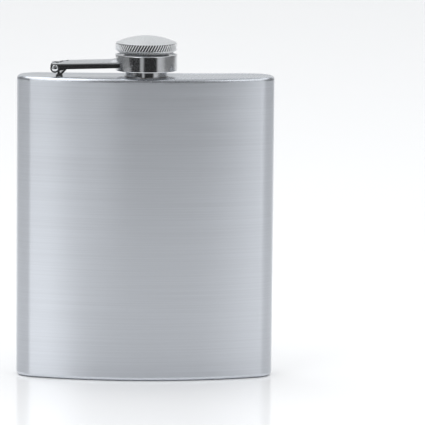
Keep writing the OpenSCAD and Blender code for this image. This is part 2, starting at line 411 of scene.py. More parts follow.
def grain_group():
    """Brushed grain: hairlines that run level round the piece, and a slower streak on top of them."""
    group, inputs, outputs = shader_group(
        "Brushed grain",
        {"Lines": 5200.0, "Length": 55.0, "Streak lines": 900.0},
        {"Height": "NodeSocketFloat", "Tone": "NodeSocketFloat"})
    place = object_place(group)
    layers = []
    for lines, spread in (("Lines", 1.0), ("Streak lines", 0.35)):
        scales = group.nodes.new("ShaderNodeCombineXYZ")
        along = math_node(group, "MULTIPLY", inputs.outputs["Length"], spread)
        group.links.new(along, scales.inputs["X"])
        group.links.new(along, scales.inputs["Y"])
        group.links.new(inputs.outputs[lines], scales.inputs["Z"])
        stretch = group.nodes.new("ShaderNodeVectorMath")
        stretch.operation = "MULTIPLY"
        group.links.new(place, stretch.inputs[0])
        group.links.new(scales.outputs[0], stretch.inputs[1])
        layers.append(noise(group, stretch.outputs[0], 1.0, 3.0, 0.6))
    height = math_node(group, "ADD", math_node(group, "MULTIPLY", layers[0], 0.85),
                       math_node(group, "MULTIPLY", layers[1], 0.15))
    group.links.new(height, outputs.inputs["Height"])
    group.links.new(map_range(group, layers[1], 0.3, 0.7, 0.0, 1.0), outputs.inputs["Tone"])
    return group


def smudge_group():
    """Soft patches where hands have touched the metal."""
    group, inputs, outputs = shader_group(
        "Smudges", {"Scale": 60.0, "Cover": 0.5}, {"Mask": "NodeSocketFloat"})
    place = object_place(group)
    patches = noise(group, place, inputs.outputs["Scale"], 4.0, 0.55)
    low = math_node(group, "SUBTRACT", 0.75, math_node(group, "MULTIPLY", inputs.outputs["Cover"], 0.4))
    high = math_node(group, "ADD", low, 0.2)
    group.links.new(map_range(group, patches, low, high, 0.0, 1.0), outputs.inputs["Mask"])
    return group


def rubbed_edge_and_highlight_group():
    """Bands at two heights, broken up by fine noise: a mask for painted highlights along edges, and on the
    body also for smoother edge wear.
    """
    group, inputs, outputs = shader_group(
        "Rubbed edges and highlight", {"Low": 0.0, "High": 0.1, "Width": 0.002}, {"Mask": "NodeSocketFloat"})
    place = object_place(group)
    split = group.nodes.new("ShaderNodeSeparateXYZ")
    group.links.new(place, split.inputs[0])
    above = math_node(group, "SUBTRACT", split.outputs["Z"], inputs.outputs["Low"])
    below = math_node(group, "SUBTRACT", inputs.outputs["High"], split.outputs["Z"])
    near = math_node(group, "MINIMUM", above, below)
    band = map_range(group, near, inputs.outputs["Width"], 0.0, 0.0, 1.0)
    broken = map_range(group, noise(group, place, 900.0, 3.0, 0.6), 0.35, 0.65, 0.55, 1.0)
    group.links.new(math_node(group, "MULTIPLY", band, broken), outputs.inputs["Mask"])
    return group


def blast_group():
    """Blasted surface: tiny dimples and the sparkle between them."""
    group, inputs, outputs = shader_group(
        "Blasting", {"Scale": 7000.0}, {"Height": "NodeSocketFloat", "Sparkle": "NodeSocketFloat"})
    place = object_place(group)
    cells = group.nodes.new("ShaderNodeTexVoronoi")
    group.links.new(place, cells.inputs["Vector"])
    group.links.new(inputs.outputs["Scale"], cells.inputs["Scale"])
    group.links.new(cells.outputs["Distance"], outputs.inputs["Height"])
    slow = noise(group, place, math_node(group, "MULTIPLY", inputs.outputs["Scale"], 0.6), 2.0, 0.6)
    group.links.new(map_range(group, slow, 0.4, 0.62, 0.0, 1.0), outputs.inputs["Sparkle"])
    return group


EFFECTS = {
    "Brushed grain": grain_group, "Smudges": smudge_group, "Rubbed edges and highlight": rubbed_edge_and_highlight_group,
    "Blasting": blast_group,
}


def effect(tree, name, **values):
    """Places a shared effect in a material, with this material's own values."""
    node = tree.nodes.new("ShaderNodeGroup")
    node.node_tree = bpy.data.node_groups.get(name) or EFFECTS[name]()
    for label, value in values.items():
        node.inputs[label.replace("_", " ").capitalize()].default_value = value
    return node.outputs


def mix_colours(tree, mask, plain, marked):
    """The plain colour where the mask is 0, and the marked one where it is 1."""
    node = tree.nodes.new("ShaderNodeMix")
    node.data_type = "RGBA"
    tree.links.new(mask, node.inputs["Factor"])
    # The node has an A, a B and a Result for each type of data, and these are the ones for colours
    first, second, result = node.inputs[6], node.inputs[7], node.outputs[2]
    for socket, colour in ((first, plain), (second, marked)):
        feed(tree, socket, colour if isinstance(colour, bpy.types.NodeSocket) else (*colour, 1))
    return result


def bumped(tree, shader, height, strength, distance):
    """Feeds a height into the shader's normal."""
    bump = tree.nodes.new("ShaderNodeBump")
    bump.inputs["Strength"].default_value = strength
    bump.inputs["Distance"].default_value = distance
    tree.links.new(height, bump.inputs["Height"])
    tree.links.new(bump.outputs["Normal"], shader.inputs["Normal"])


def new_material(name, metallic=1.0):
    """An empty node material: its tree and its Principled shader."""
    material = bpy.data.materials.new(name)
    material.use_nodes = True
    shader = material.node_tree.nodes["Principled BSDF"]
    shader.inputs["Metallic"].default_value = metallic
    return material, material.node_tree, shader


def smudged(tree, shader, scale, cover, colours, roughness):
    """Gives a shader a (clean, touched) pair of colours and of roughnesses, mixed by smudges."""
    mask = effect(tree, "Smudges", scale=scale, cover=cover)["Mask"]
    tree.links.new(mix_colours(tree, mask, *colours), shader.inputs["Base Color"])
    tree.links.new(map_range(tree, mask, 0, 1, *roughness), shader.inputs["Roughness"])


def scaled(colour, factor):
    """A colour made darker or lighter."""
    return tuple(min(1.0, c * factor) for c in colour)


def brushed_body_steel():
    """Body sheet: level brushing, edges painted lighter as a highlight and smoother where worn, faint
    smudges.
    """
    colour = tuple(bpy.context.scene.flask_colours.body)
    material, tree, shader = new_material("Brushed body steel")
    shader.inputs["Anisotropic"].default_value = 0.85
    shader.inputs["Anisotropic Rotation"].default_value = 0.25
    grain = effect(tree, "Brushed grain", lines=5200.0, length=45.0, streak_lines=2400.0)
    smudges = effect(tree, "Smudges", scale=38.0, cover=0.35)
    rubbing_and_highlight = effect(tree, "Rubbed edges and highlight", low=0.0, high=PLATE_Z, width=1.9 * MM)
    toned = mix_colours(tree, grain["Tone"], scaled(colour, 0.97), scaled(colour, 1.03))
    dulled = mix_colours(tree, math_node(tree, "MULTIPLY", smudges["Mask"], 0.25), toned,
                         scaled(colour, 0.93))
    # Painted highlight: the bands along the top and bottom edges are painted lighter, and their lower
    # roughness below is wear.
    tree.links.new(mix_colours(tree, rubbing_and_highlight["Mask"], dulled, scaled(colour, 1.12)),
                   shader.inputs["Base Color"])
    rough = math_node(tree, "ADD", map_range(tree, grain["Tone"], 0, 1, 0.29, 0.35),
                      math_node(tree, "MULTIPLY", smudges["Mask"], 0.02))
    rough = math_node(tree, "SUBTRACT", rough, math_node(tree, "MULTIPLY", rubbing_and_highlight["Mask"], 0.1))
    tree.links.new(rough, shader.inputs["Roughness"])
    bumped(tree, shader, grain["Height"], 0.15, 0.01 * MM)
    return material


def inner_steel():
    """Inside of the body: unfinished sheet."""
    material, tree, shader = new_material("Plain inner steel")
    colour = scaled(tuple(bpy.context.scene.flask_colours.body), 0.8)
    smudged(tree, shader, 120.0, 0.6, (colour, scaled(colour, 0.8)), (0.38, 0.5))
    return material


def polished_steel(low, high, name):
    """Polished steel: turning lines too fine to see, smudges, and a painted highlight along its edges at
    two heights.
    """
    colour = tuple(bpy.context.scene.flask_colours.polished)
    material, tree, shader = new_material(name)
    grain = effect(tree, "Brushed grain", lines=9000.0, length=260.0, streak_lines=2600.0)
    smudges = effect(tree, "Smudges", scale=260.0, cover=0.55)
    rubbing_and_highlight = effect(tree, "Rubbed edges and highlight", low=low, high=high, width=0.35 * MM)
    toned = mix_colours(tree, smudges["Mask"], colour, scaled(colour, 0.86))
    # Painted highlight: the bands at the two edge heights are painted lighter.
    tree.links.new(mix_colours(tree, rubbing_and_highlight["Mask"], toned, scaled(colour, 1.25)),
                   shader.inputs["Base Color"])
    rough = math_node(tree, "ADD", map_range(tree, smudges["Mask"], 0, 1, 0.09, 0.17),
                      math_node(tree, "MULTIPLY", grain["Tone"], 0.04))
    tree.links.new(rough, shader.inputs["Roughness"])
    bumped(tree, shader, grain["Height"], 0.25, 0.004 * MM)
    return material


def arm_steel():
    """Arm: satin along its top, painted lighter as a highlight, and smooth round its bends and flanges,
    painted darker as the shade on the flanges.
    """
    colour = tuple(bpy.context.scene.flask_colours.polished)
    material, tree, shader = new_material("Arm steel")
    split = tree.nodes.new("ShaderNodeSeparateXYZ")
    tree.links.new(object_place(tree), split.inputs[0])
    top = map_range(tree, split.outputs["Z"], HINGE.z + 1.45 * MM, HINGE.z + 1.75 * MM, 0.0, 1.0)
    blasting = effect(tree, "Blasting", scale=5200.0)
    smudges = effect(tree, "Smudges", scale=300.0, cover=0.5)
    # Painted light: the top's colour is lighter and the flanges' colour darker than the steel, as the light
    # on the top and the shade on the flanges.
    satin = mix_colours(tree, blasting["Sparkle"], scaled(colour, 1.02), scaled(colour, 1.22))
    plain = mix_colours(tree, smudges["Mask"], scaled(colour, 0.9), scaled(colour, 0.76))
    tree.links.new(mix_colours(tree, top, plain, satin), shader.inputs["Base Color"])
    tree.links.new(map_range(tree, top, 0, 1, 0.12, 0.34), shader.inputs["Roughness"])
    bumped(tree, shader, math_node(tree, "MULTIPLY", blasting["Height"], top), 0.3, 0.02 * MM)
    return material


def satin_head_steel():
    """Head: blasted all over, with a fine sparkle."""
    colour = tuple(bpy.context.scene.flask_colours.satin)
    material, tree, shader = new_material("Satin head steel")
    blasting = effect(tree, "Blasting", scale=7200.0)
    smudges = effect(tree, "Smudges", scale=220.0, cover=0.45)
    speckled = mix_colours(tree, blasting["Sparkle"], scaled(colour, 0.95), scaled(colour, 1.16))
    dulled = mix_colours(tree, math_node(tree, "MULTIPLY", smudges["Mask"], 0.35), speckled,
                         scaled(colour, 0.86))
    tree.links.new(dulled, shader.inputs["Base Color"])
    tree.links.new(map_range(tree, blasting["Sparkle"], 0, 1, 0.4, 0.3), shader.inputs["Roughness"])
    bumped(tree, shader, blasting["Height"], 0.4, 0.012 * MM)
    return material


def knurl_highlight_steel():
    """Crests of the teeth, painted lighter as a highlight and made half metallic so that they catch the
    soft light.
    """
    colour = tuple(bpy.context.scene.flask_colours.satin)
    material, tree, shader = new_material("Knurl steel painted with highlight", metallic=0.5)
    # Painted highlight: the crests' colours are lighter than the head's steel.
    smudged(tree, shader, 700.0, 0.5, (scaled(colour, 1.14), scaled(colour, 1.04)), (0.24, 0.34))
    return material


def groove_shade_steel():
    """Band between the teeth, painted near black as the shade in the grooves."""
    material, tree, shader = new_material("Groove steel painted dark as shade", metallic=0.6)
    # Painted shade: near black for the shade deep between the teeth.
    smudged(tree, shader, 900.0, 0.6, ((0.012, 0.012, 0.013), (0.04, 0.04, 0.042)), (0.45, 0.65))
    return material


def weld_steel():
    """Weld beads: dull, with a little heat colour."""
    colour = tuple(bpy.context.scene.flask_colours.weld)
    material, tree, shader = new_material("Weld steel")
    smudged(tree, shader, 500.0, 0.7, (colour, (0.30, 0.25, 0.19)), (0.3, 0.5))
    blasting = effect(tree, "Blasting", scale=2400.0)
    bumped(tree, shader, blasting["Height"], 0.4, 0.03 * MM)
    return material


def silicone():
    """Gasket: soft, slightly cloudy white."""
    colour = tuple(bpy.context.scene.flask_colours.seal)
    material, tree, shader = new_material("White silicone", metallic=0.0)
    smudged(tree, shader, 420.0, 0.5, (colour, scaled(colour, 0.93)), (0.38, 0.52))
    shader.inputs["Subsurface Weight"].default_value = 0.2
    shader.inputs["Subsurface Scale"].default_value = 0.4 * MM
    return material


# ---- The body's outline ----


def arc(centre, radius, start, end, steps):
    """Points on an arc, without its last one."""
    angles = [start + (end - start) * i / steps for i in range(steps)]
    return [centre + radius * Vector((math.cos(a), math.sin(a))) for a in angles]


def body_outline(inset):
    """The flask seen from above: four tangent arcs, anticlockwise from the left tip."""
    end_steps, long_steps = 20, 72
    body = bpy.context.scene.flask_body
    end_r, dip = body.end_radius, body.back_hollow
    end_x = WRAP_HIGH.x - end_r
    end_y = WRAP_HIGH.y - end_r
    reach = end_y - WRAP_LOW.y
    front_r = (reach ** 2 - end_r ** 2 + end_x ** 2) / (2 * (reach - end_r))
    front_a = math.asin(end_x / (front_r - end_r))
    back_r = (end_x ** 2 + dip ** 2) / (2 * dip) - end_r
    back_a = math.asin(end_x / (back_r + end_r))
    left, right = Vector((-end_x, end_y)), Vector((end_x, end_y))
    front = Vector((0, WRAP_LOW.y + front_r))
    back = Vector((0, end_y + back_r + end_r - dip))
    down, up, half = -math.pi / 2, math.pi / 2, math.pi
    return (arc(left, end_r - inset, half, 1.5 * half - front_a, end_steps)
            + arc(front, front_r - inset, down - front_a, down + front_a, long_steps)
            + arc(right, end_r - inset, down + front_a, 0, end_steps)
            + arc(right, end_r - inset, 0, up + back_a, end_steps)
            + arc(back, back_r + inset, down + back_a, down - back_a, long_steps)
            + arc(left, end_r - inset, up - back_a, half, end_steps))


def loft(bm, sections, closed=False, zones=None):
    """Joins (inset, height) copies of the body's outline, one after another."""
    rings = [[bm.verts.new((p.x, p.y, height)) for p in body_outline(inset)] for inset, height in sections]
    count = len(rings[0])
    for i in range(len(rings) if closed else len(rings) - 1):
        low, high = rings[i], rings[(i + 1) % len(rings)]
        for k in range(count):
            j = (k + 1) % count
            face = bm.faces.new([low[k], low[j], high[j], high[k]])
            face.material_index = zones[i] if zones else 0
    return rings


def rim_sections(radius, inset, base, sign):
    """The quarter round of a plate's edge, from its wall to its flat."""
    sections, steps = [], 8
    for i in range(steps + 1):
        a = math.pi / 2 * i / steps
        sections.append((inset + radius * (1 - math.cos(a)), base + sign * radius * math.sin(a)))
    return sections


def ring_at(bm, radius, height, steps):
    """A ring of vertices round the neck's axis."""
    angles = [2 * math.pi * k / steps for k in range(steps)]
    return [bm.verts.new((radius * math.cos(a) + NECK_AXIS.x, radius * math.sin(a) + NECK_AXIS.y, height))
            for a in angles]


def plate(name, base, sign, materials, hole_radius=0.0):
    """A formed plate: a flat with a quarter-round edge, and a round hole if it has one. base is the
    height where its edge meets the wrap, and sign is 1 for the top plate and -1 for the base plate."""
    body = bpy.context.scene.flask_body
    bm = bmesh.new()
    outer = rim_sections(body.edge_radius, 0, base, sign)
    inner = rim_sections(body.edge_radius - body.sheet, body.sheet, base, sign)
    rings = loft(bm, outer[::-1] + inner, zones=[0] * len(outer) + [1] * len(inner))
    hole_rings, hole_steps = [], 96
    for flat_ring, zone in ((rings[0], 0), (rings[-1], 1)):
        height = flat_ring[0].co.z
        loops = [flat_ring]
        if hole_radius:
            loops.append(ring_at(bm, hole_radius, height, hole_steps))
        edges = []
        for ring in loops:
            for k, vert in enumerate(ring):
                other = ring[(k + 1) % len(ring)]
                edges.append(bm.edges.get((vert, other)) or bm.edges.new((vert, other)))
        filled = bmesh.ops.triangle_fill(bm, edges=edges, use_beauty=True, use_dissolve=False)
        for item in filled["geom"]:
            if isinstance(item, bmesh.types.BMFace):
                item.material_index = zone
        hole_rings += loops[1:]
    if hole_radius:
        upper, lower = hole_rings
        for k in range(hole_steps):
            j = (k + 1) % hole_steps
            bm.faces.new([upper[k], upper[j], lower[j], lower[k]])
    return keep_flats_flat(piece_from(name, mesh_of(name, bm), materials))


# ---- Operators: one for each piece or group of like pieces ----


class FLASK_OT_body(bpy.types.Operator):
    """Build the wrapped sheet, its inner seam and the two formed plates"""

    bl_idname = "flask.body"
    bl_label = "Body"

    def execute(self, context):
        body = context.scene.flask_body
        finishes = [brushed_body_steel(), inner_steel()]
        low, high = WRAP_LOW.z, WRAP_HIGH.z
        bm = bmesh.new()
        loft(bm, [(0, low), (0, high), (body.sheet, high), (body.sheet, low)], True, [0, 1, 1, 1])
        wrap = piece_from("wrap_sheet", mesh_of("wrap_sheet", bm), finishes)
        hand_over(wrap, "flask", "body_steel", "body_wrap")
        top = plate("top_sheet", high, 1, finishes, FOOT_RADIUS)
        hand_over(top, "flask", "body_steel", "top_plate")
        base = plate("base_sheet", low, -1, finishes)
        hand_over(base, "flask", "body_steel", "base_plate")
        hand_over(self.seam(), "flask", "weld", "side_seam")
        return {"FINISHED"}

    def seam(self):
        """Rippled weld bead, up the inside of the back."""
        bm = bmesh.new()
        ripples, points = 220, 7
        middle = (SEAM_LOW.x + SEAM_HIGH.x) / 2
        half = (SEAM_HIGH.x - SEAM_LOW.x) / 2
        rows = []
        for i in range(ripples + 1):
            height = SEAM_LOW.z + (SEAM_HIGH.z - SEAM_LOW.z) * i / ripples
            swell = 0.75 + 0.25 * abs(math.sin(math.pi * i / 4))
            row = []
            for k in range(points):
                a = math.pi * k / (points - 1)
                depth = (SEAM_HIGH.y - SEAM_LOW.y) * swell * math.sin(a)
                row.append(bm.verts.new((middle - half * math.cos(a), SEAM_HIGH.y - depth, height)))
            rows.append(row)
        skin(bm, rows)
        return piece_from("back_seam", mesh_of("back_seam", bm), [weld_steel()])


def thread_ridge(angle, height, low, high, phase):
    """How far the helical ridge stands out at an angle and a height. It runs out at low and at high."""
    thread = bpy.context.scene.flask_thread
    width, roundness, run_out = 0.62, 0.7, 0.6 * MM
    off = (height / thread.lead - angle / (2 * math.pi) + phase) % 1.0 - 0.5
    if abs(off) >= width / 2:
        return 0.0
    fade = max(0.0, min(1.0, (height - low) / run_out, (high - height) / run_out))
    return thread.ridge * fade * max(0.0, math.cos(math.pi * off / width)) ** roundness


class FLASK_OT_neck(bpy.types.Operator):
    """Build the threaded neck and the weld round its foot"""

    bl_idname = "flask.neck"
    bl_label = "Neck"

    def execute(self, context):
        core = context.scene.flask_thread.core_radius
        flange = NECK_HIGH.x
        under, top = NECK_LOW.z - PLATE_Z, NECK_HIGH.z - PLATE_Z
        foot_top, flange_top = 2.9 * MM, under + 0.8 * MM
        thread_low, thread_high = foot_top + 0.5 * MM, top - 0.5 * MM
        climb = [(core, thread_low + (thread_high - thread_low) * i / 40, 0) for i in range(41)]
        outline = rounded([(BORE_RADIUS, under, 0.1 * MM), (flange, under, 0.15 * MM),
                           (flange, flange_top, 0.15 * MM), (FOOT_RADIUS, flange_top, 0),
                           (FOOT_RADIUS, foot_top, 0.25 * MM), (core, foot_top, 0.15 * MM)]
                          + climb + [(core, top, 0.22 * MM), (BORE_RADIUS, top, 0.22 * MM)])

        def ridge(angle, height, index):
            """The thread, which stands out of the core above the foot."""
            on_core = height > foot_top and abs(outline[index][0] - core) < NEAR
            return thread_ridge(angle, height, thread_low, thread_high, 0.0) if on_core else 0

        steel = polished_steel(PLATE_Z, PLATE_Z + foot_top, "Polished neck steel")
        piece = turned("threaded_neck", outline, [steel], shift=ridge)
        hand_over(keep_flats_flat(piece), "flask", "polished_steel", "neck")
        hand_over(self.weld(), "flask", "weld", "neck_weld")
        return {"FINISHED"}

    def weld(self):
        """Rippled fillet round the neck's foot."""
        leg, steps, ripples, ripple = 0.22 * MM, 6, 48, 0.03 * MM
        angles = [math.pi / 2 * k / steps for k in range(steps + 1)]
        fillet = [(FOOT_RADIUS, 0.0)] + [(FOOT_RADIUS + leg * math.cos(a), leg * math.sin(a))
                                         for a in angles]

        def swell(angle, height, index):
            """The ripples, on the points of the fillet that are clear of the neck."""
            return ripple * math.sin(ripples * angle) if index in (1, 2, 3, 4) else 0

        return turned("neck_bead", fillet, [weld_steel()], steps=4 * ripples, shift=swell)


def thick_path(path, thickness):
    """The closed outline of a strip whose middle line is path."""
    left, right = [], []
    for i, point in enumerate(path):
        ahead = path[min(i + 1, len(path) - 1)] - path[max(i - 1, 0)]
        side = Vector((-ahead.y, ahead.x)).normalized() * thickness / 2
        left.append(point + side)
        right.append(point - side)
    return left + right[::-1]


def at_hinge(p):
    """From (along the arm, up, across) at the hinge pin into the frame."""
    return HINGE + Vector((p.x, -p.z, p.y))


class FLASK_OT_hinge(bpy.types.Operator):
    """Build the standing lug with its rolled eye, its welds, and the domed pin"""

    bl_idname = "flask.hinge"
    bl_label = "Hinge"

    def execute(self, context):
        steel = polished_steel(PLATE_Z, HINGE.z + 2 * MM, "Polished hinge steel")
        half = (LUG_HIGH.y - LUG_LOW.y) / 2
        foot = -(HINGE.z - PLATE_Z)
        hand_over(self.lug(half, foot, steel), "flask", "polished_steel", "hinge_lug")
        hand_over(self.welds(half, foot), "flask", "weld", "lug_weld")
        hand_over(self.pin(steel), "arm", "polished_steel", "hinge_pin")
        return {"FINISHED"}

    def lug(self, half, foot, steel):
        """Strip rolled round the pin, bent under and up into a sprung leg, on a filled foot."""
        sheet, eye_r = 0.7 * MM, 1.18 * MM
        eye = [eye_r * Vector((math.cos(a), math.sin(a)))
               for a in (math.radians(260 - 9.5 * i) for i in range(29))]
        bend = rounded([(1.16 * MM, -0.2 * MM, 0), (1.5 * MM, foot + 0.15 * MM, 0.55 * MM),
                        (4.0 * MM, -0.35 * MM, 0)], 8)
        path = eye + bend[1:-1] + [Vector((3.5 * MM, -0.95 * MM)), Vector((3.95 * MM, -0.42 * MM))]
        lug = prism("sprung_lug", thick_path(path, sheet), -half, half, at_hinge, [steel])
        block = rounded([(0.6 * MM, foot, 0), (2.6 * MM, foot, 0), (2.6 * MM, foot + 1.0 * MM, 0.2 * MM),
                         (1.9 * MM, foot + 1.5 * MM, 0.2 * MM), (0.9 * MM, foot + 1.3 * MM, 0.2 * MM)])
        combine(lug, prism("lug_foot", block, -half, half, at_hinge, [steel]), "UNION")
        return soften(lug, 0.08 * MM)

    def pin(self, steel):
        """Pin with a domed head at each end."""
        reach = (PIN_HIGH.y - PIN_LOW.y) / 2
        head_r, pin_r, head_t, rim_t = (PIN_HIGH.x - PIN_LOW.x) / 2, 0.75 * MM, 0.5 * MM, 0.12 * MM
        shoulder = reach - head_t
        dome = [(head_r * math.cos(a), shoulder + rim_t + (head_t - rim_t) * math.sin(a))
                for a in (math.pi / 2 * k / 8 for k in range(9))]
        dome[-1] = (0.0, reach)
        right = [(pin_r, shoulder), (head_r, shoulder)] + dome
        outline = [(r, -z) for r, z in right[::-1]] + right
        pin = turned("domed_pin", outline, [steel], steps=48,
                     place=lambda p: HINGE + Vector((p.x, p.z, p.y)))
        return keep_flats_flat(pin)

    def welds(self, half, foot):
        """Two rippled beads, one along each side of the lug's foot."""
        bm = bmesh.new()
        leg, ripples, points = 0.35 * MM, 64, 8
        near_side, far_side = 0.62 * MM, 2.58 * MM
        for middle in (near_side, far_side):
            rows = []
            for i in range(ripples + 1):
                along = -half + 2 * half * i / ripples
                swell = leg * (0.8 + 0.2 * abs(math.sin(math.pi * i / 5)))
                angles = [math.pi * k / (points - 1) for k in range(points)]
                rows.append([bm.verts.new(at_hinge(Vector(
                    (middle + swell * math.cos(a), foot + swell * math.sin(a), along)))) for a in angles])
            skin(bm, rows)
        return piece_from("lug_beads", mesh_of("lug_beads", bm), [weld_steel()])


def along_polyline(points, distance):
    """The point at a distance from the first point along a polyline, running straight past its ends."""
    for i, (a, b) in enumerate(zip(points, points[1:])):
        length = (b - a).length
        if distance <= length or i == len(points) - 2:
            return a + (b - a) * distance / length
        distance -= length


def smoothstep(value, low, high):
    """0 below low, 1 above high, and smooth between them."""
    t = max(0.0, min(1.0, (value - low) / (high - low)))
    return t * t * (3 - 2 * t)


class FLASK_OT_arm(bpy.types.Operator):
    """Cut the arm's flat blank, fold it into a channel and thicken it"""

    bl_idname = "flask.arm"
    bl_label = "Arm"

    def execute(self, context):
        self.arm = context.scene.flask_arm
        self.half_w = (ARM_HIGH.y - ARM_LOW.y) / 2
        self.collar_r = (COLLAR_HIGH.x - COLLAR_LOW.x) / 2
        self.inner_r = self.collar_r - COLLAR_WALL
        # The hook behind the collar's wall starts here, and its bend takes up this much of the blank
        self.hook_x = NECK_AXIS.x - HINGE.x - self.inner_r - 0.2 * MM
        self.bend_r = 0.42 * MM
        self.bend_run = self.bend_r * math.pi / 2
        # Before the hook, the arch runs out into a flat
        self.arch_end, self.flat_start = self.hook_x - 2.4 * MM, self.hook_x - 0.4 * MM
        section = self.section()
        folds = [0.0]
        for a, b in zip(section, section[1:]):
            folds.append(folds[-1] + (b - a).length)
        flank = folds[-1] / 2
        bm = bmesh.new()
        self.cut_blank(bm, flank, [s - flank for s in folds[1:-1]])
        for vert in bm.verts:
            vert.co = self.folded(vert.co.x, along_polyline(section, vert.co.y + flank))
        piece = piece_from("folded_arm", mesh_of("folded_arm", bm), [arm_steel()])
        sheet = piece.modifiers.new("Sheet", "SOLIDIFY")
        sheet.thickness = self.arm.sheet
        sheet.offset = 0
        sheet.use_even_offset = True
        settle(piece)
        hand_over(soften(piece, 0.12 * MM), "arm", "polished_steel", "captive_arm")
        return {"FINISHED"}

    def crown_height(self):
        """Height of the middle of the sheet at the top of its arch, above the pin."""
        return self.arm.flange + self.arm.crown - self.arm.sheet / 2

    def section(self):
        """The channel's section at mid-thickness: up one flange, over the arch, down the other."""
        side_y = self.half_w - self.arm.sheet / 2
        crown_z = self.crown_height()
        crown = self.arm.crown
        crown_r = (self.half_w ** 2 + crown ** 2) / (2 * crown) - self.arm.sheet / 2
        arch = [Vector((y, crown_z - crown_r + math.sqrt(crown_r ** 2 - y ** 2)))
                for y in (side_y * k / 8 for k in range(-8, 9))]
        corner = 0.4 * MM
        return rounded([(-side_y, -self.arm.drop, 0), (*arch[0], corner)] + [(*p, 0) for p in arch[2:-2]]
                       + [(*arch[-1], corner), (side_y, -self.arm.drop, 0)])

    def half_blank(self, flank):
        """Half of the blank's outline, as (along the arm, round the section from its middle), from the
        tip of the tongue to the notch. flank is how far the section reaches to each side."""
        arm = self.arm
        side_y = self.half_w - arm.sheet / 2
        pin_s = flank - arm.drop
        tongue, tip_corner = arm.tongue / 2, 0.5 * MM
        tip_x = self.hook_x + self.bend_run + 0.4 * MM
        ear_r = 1.7 * MM
        web = 0.62 * ear_r - arm.drop
        web_near, web_end, web_far = 1.2 * MM, 1.6 * MM, 4.4 * MM
        notch_x = 3.2 * MM

        def shoulder_x(y):
            gap = 0.06 * MM
            return NECK_AXIS.x - HINGE.x - math.sqrt(self.collar_r ** 2 - y ** 2) - gap

        blank = [Vector((tip_x, 0)), Vector((tip_x, tongue - tip_corner))]
        blank += [Vector((tip_x - tip_corner * (1 - math.cos(a)), tongue - tip_corner * (1 - math.sin(a))))
                  for a in (math.pi / 2 * k / 4 for k in range(1, 5))]
        blank += [Vector((shoulder_x(tongue), tongue))]
        blank += [Vector((shoulder_x(min(side_y, s)), s))
                  for s in (tongue + (flank - tongue) * k / 5 for k in range(1, 6))]
        blank += [Vector((x, flank + web * (1 - smoothstep(x, web_near, web_far))))
                  for x in (web_far + (web_end - web_far) * k / 8 for k in range(9))]
        blank += [Vector((ear_r * math.cos(a), pin_s + ear_r * math.sin(a)))
                  for a in (math.radians(50 + 210 * k / 20) for k in range(21))]
        blank += [Vector((notch_x - 1.6 * MM, pin_s - ear_r - 0.05 * MM))]
        blank += [Vector((notch_x + arm.notch * math.sin(a), arm.notch * math.cos(a)))
                  for a in (math.pi / 2 * k / 12 for k in range(13))]
        return blank

    def cut_blank(self, bm, flank, folds):
        """The flat blank as one sheet of faces, divided along its folds and where it will be bent."""
        half = self.half_blank(flank)
        outline = half + [Vector((p.x, -p.y)) for p in half[-2:0:-1]]
        bm.faces.new([bm.verts.new((p.x, p.y, 0)) for p in outline])
        hook_cuts = [self.arch_end + (self.flat_start - self.arch_end) * k / 5 for k in range(6)]
        hook_cuts += [self.hook_x + self.bend_run * k / 5 for k in range(6)]
        length_cuts = [x * MM for x in (2, 4, 6, 8, 12, 16)]
        cuts = [((0, s, 0), (0, 1, 0)) for s in folds]
        cuts += [((x, 0, 0), (1, 0, 0)) for x in hook_cuts + length_cuts]
        for point, normal in cuts:
            everything = list(bm.verts) + list(bm.edges) + list(bm.faces)
            bmesh.ops.bisect_plane(bm, geom=everything, dist=1e-7, plane_co=point, plane_no=normal)

    def folded(self, x, place):
        """Where a point of the blank ends up in the frame. It is x along the arm and at a place on the
        section, and is flattened before the collar, bowed to its wall and hooked up behind that."""
        y, z = place
        flat_half, arch_half = 2.7 * MM, 3.5 * MM
        flat = smoothstep(x, self.arch_end, self.flat_start) * (
            1 - smoothstep(abs(y), flat_half, arch_half))
        z += (self.crown_height() - z) * flat
        bow = self.inner_r - math.sqrt(self.inner_r ** 2 - min(abs(y), self.inner_r) ** 2)
        bow *= smoothstep(x, self.hook_x - 0.8 * MM, self.hook_x)
        if x > self.hook_x:
            turn = min((x - self.hook_x) / self.bend_r, math.pi / 2)
            rest = max(0.0, x - self.hook_x - self.bend_run)
            x = self.hook_x + self.bend_r * math.sin(turn)
            z += self.bend_r * (1 - math.cos(turn)) + rest
        return HINGE + Matrix.Rotation(-self.arm.slope, 3, "Y") @ Vector((x + bow, y, z))


class FLASK_OT_collar(bpy.types.Operator):
    """Turn the collar with its sunk web, and cut the slot for the arm's tongue"""

    bl_idname = "flask.collar"
    bl_label = "Collar"

    def execute(self, context):
        outer = (COLLAR_HIGH.x - COLLAR_LOW.x) / 2
        low, high = COLLAR_LOW.z - PLATE_Z, COLLAR_HIGH.z - PLATE_Z
        hole = 8.35 * MM
        web_high = high - 0.4 * MM
        web_low = web_high - COLLAR_WALL
        inner, rim = outer - COLLAR_WALL, 0.28 * MM
        outline = rounded([(outer, low, rim), (outer, high, rim), (inner, high, 0.2 * MM),
                           (inner, web_high, 0.15 * MM), (hole, web_high, 0.15 * MM),
                           (hole, web_low, 0.15 * MM), (inner, web_low, 0.3 * MM), (inner, low, rim)])
        steel = polished_steel(COLLAR_LOW.z, COLLAR_HIGH.z, "Polished collar steel")
        piece = turned("slotted_collar", outline, [steel], steps=192)
        slot_low, slot_high, corner = 5.5 * MM, 7.05 * MM, 0.3 * MM
        side = context.scene.flask_arm.slot / 2
        window = rounded([(-side, slot_low, corner), (side, slot_low, corner),
                          (side, slot_high, corner), (-side, slot_high, corner)])
        cutter = prism("slot_cutter", window, -outer - 1 * MM, -inner + 1.2 * MM,
                       lambda p: NECK_AXIS + Vector((p.z, p.x, p.y)), [steel])
        combine(piece, cutter, "DIFFERENCE")
        shade_smooth(piece, 45)
        hand_over(keep_flats_flat(piece), "arm", "polished_steel", "collar")
        return {"FINISHED"}


